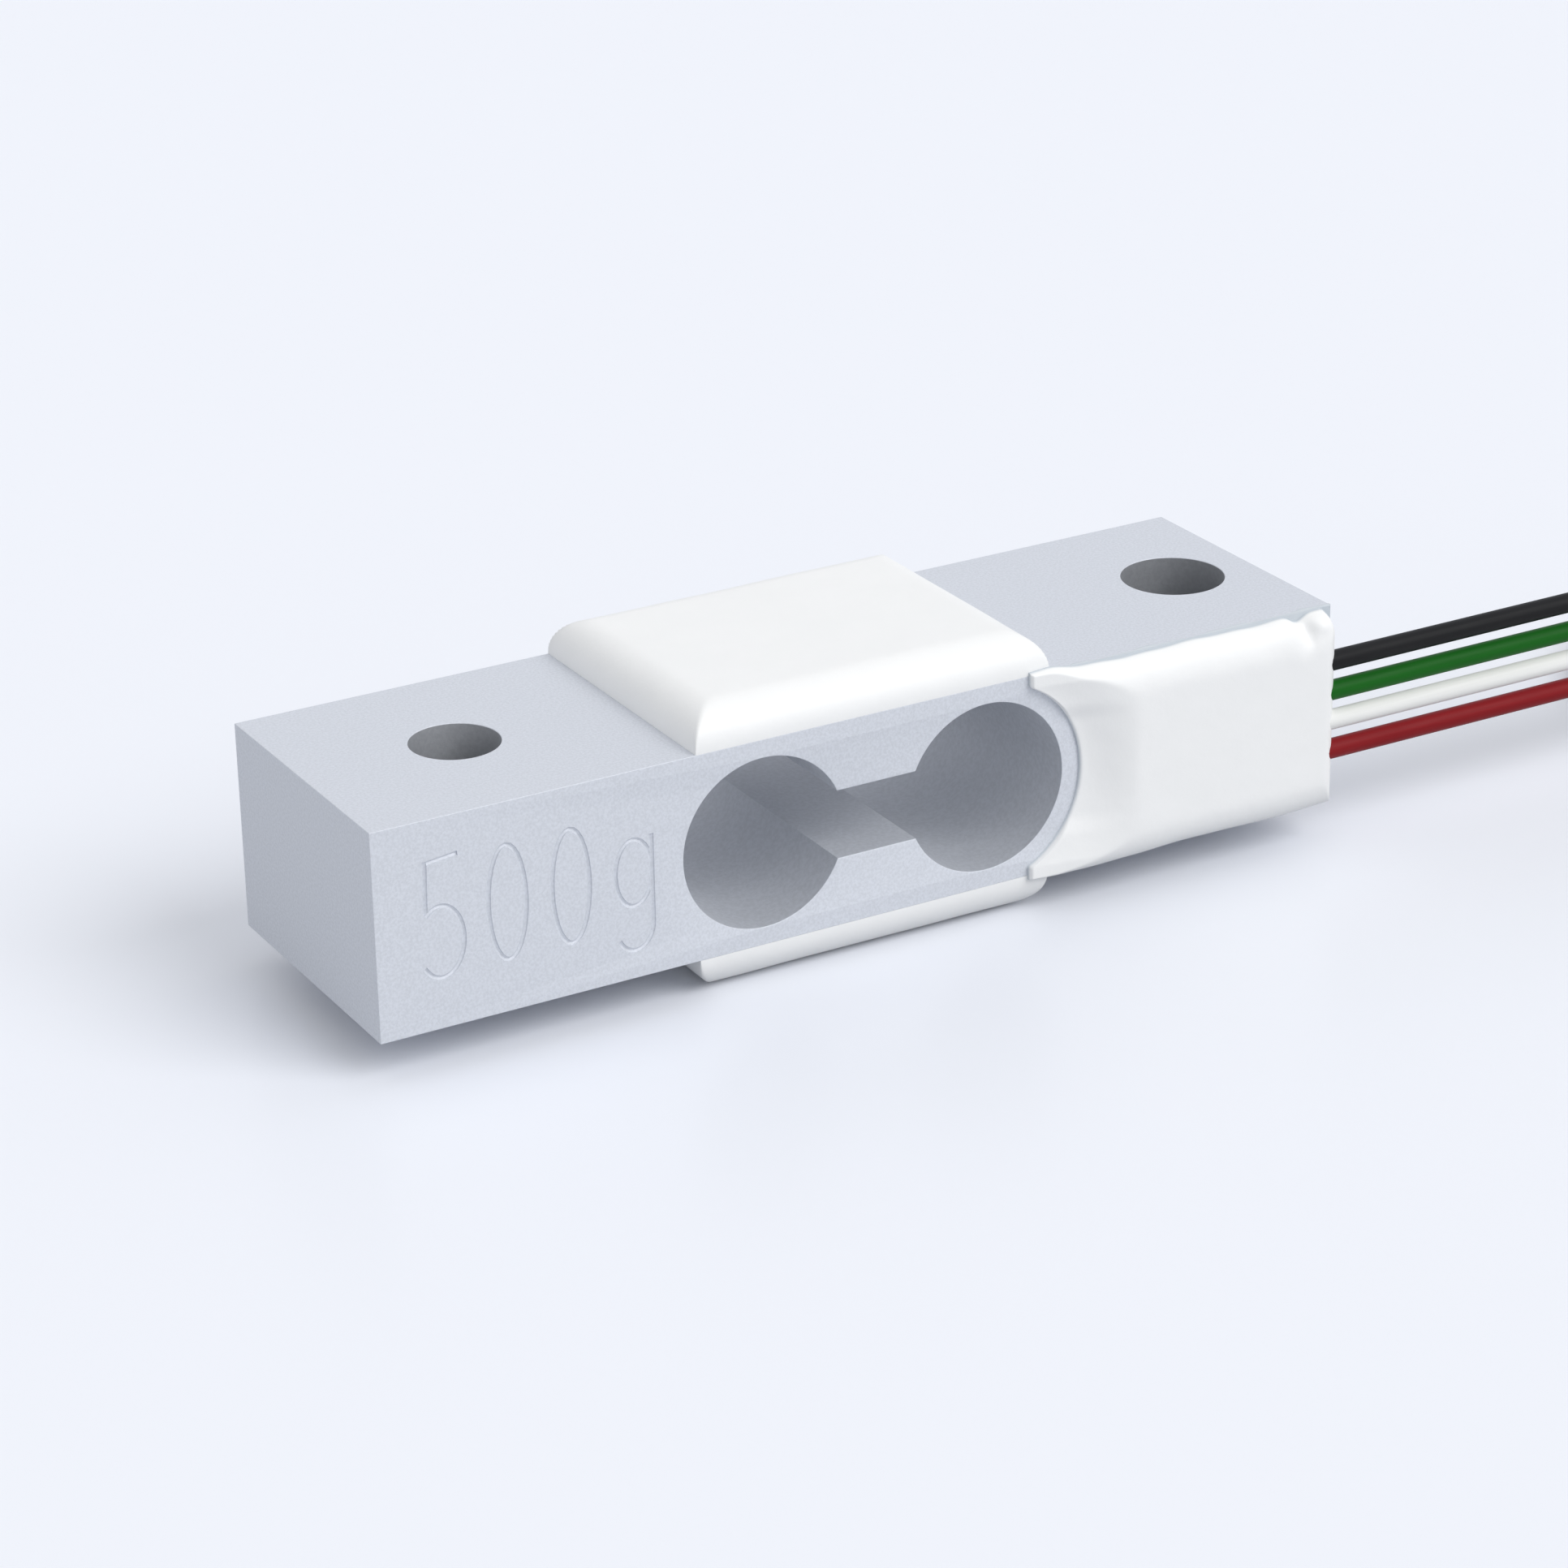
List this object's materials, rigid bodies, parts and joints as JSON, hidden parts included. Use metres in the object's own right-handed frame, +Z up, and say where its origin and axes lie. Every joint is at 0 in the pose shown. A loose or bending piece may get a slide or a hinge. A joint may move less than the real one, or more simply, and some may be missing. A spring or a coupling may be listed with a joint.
{
  "type": "weighing load cell",
  "caption": "Miniature single-point weighing load cell: an aluminium bar with joined cross bores, sealed strain gauges and thin signal wires from one side.",
  "frame": {"origin": "the plane that the lower sealant pad rests on, under the middle of the bar", "axes": "+X along the bar towards its fixed, wired end, -Y out of the wired side, +Z up, the way the load is pressed down against"},
  "size_m": [0.0712, 0.013, 0.0083],
  "materials": {
    "machined_aluminium": "fine matte, machined and blasted",
    "white_silicone": "soft satin, applied wet and cured",
    "board_laminate": "glass-cloth laminate",
    "copper_land": "etched copper",
    "solder": "bright, flowed",
    "gauge_film": "amber film",
    "gauge_foil": "etched foil",
    "enamelled_wire": "enamel over copper",
    "black_insulation": "extruded, soft",
    "green_insulation": "extruded, soft",
    "white_insulation": "extruded, soft",
    "red_insulation": "extruded, soft",
    "wire_bundle": "turns of the insulated wires",
    "tie_plastic": "plastic-coated wire",
    "tinned_copper": "tinned strands"
  },
  "bodies": {
    "root": {"beam": "machined_aluminium", "top_pad": "white_silicone", "bottom_pad": "white_silicone", "side_sealant": "white_silicone", "terminal_board": "board_laminate", "board_lands": "copper_land", "board_solder": "solder", "gauge_solder_top": "solder", "gauge_solder_bottom": "solder", "gauge_link_top": "enamelled_wire", "gauge_link_bottom": "enamelled_wire", "wire_hank": "wire_bundle", "hank_tie": "tie_plastic", "gauge_carrier_top_left": "gauge_film", "gauge_foil_top_left": "gauge_foil", "gauge_carrier_top_right": "gauge_film", "gauge_foil_top_right": "gauge_foil", "gauge_carrier_bottom_left": "gauge_film", "gauge_foil_bottom_left": "gauge_foil", "gauge_carrier_bottom_right": "gauge_film", "gauge_foil_bottom_right": "gauge_foil", "gauge_wire_top_signal_minus": "enamelled_wire", "gauge_wire_top_signal_plus": "enamelled_wire", "gauge_wire_top_supply_minus": "enamelled_wire", "gauge_wire_bottom_signal_plus": "enamelled_wire", "gauge_wire_bottom_signal_minus": "enamelled_wire", "gauge_wire_bottom_supply_plus": "enamelled_wire", "wire_black": "black_insulation", "wire_black_free_end": "black_insulation", "wire_black_inner_end": "tinned_copper", "wire_black_tip": "tinned_copper", "wire_green": "green_insulation", "wire_green_free_end": "green_insulation", "wire_green_inner_end": "tinned_copper", "wire_green_tip": "tinned_copper", "wire_white": "white_insulation", "wire_white_free_end": "white_insulation", "wire_white_inner_end": "tinned_copper", "wire_white_tip": "tinned_copper", "wire_red": "red_insulation", "wire_red_free_end": "red_insulation", "wire_red_inner_end": "tinned_copper", "wire_red_tip": "tinned_copper"}
  },
  "joints": []
}
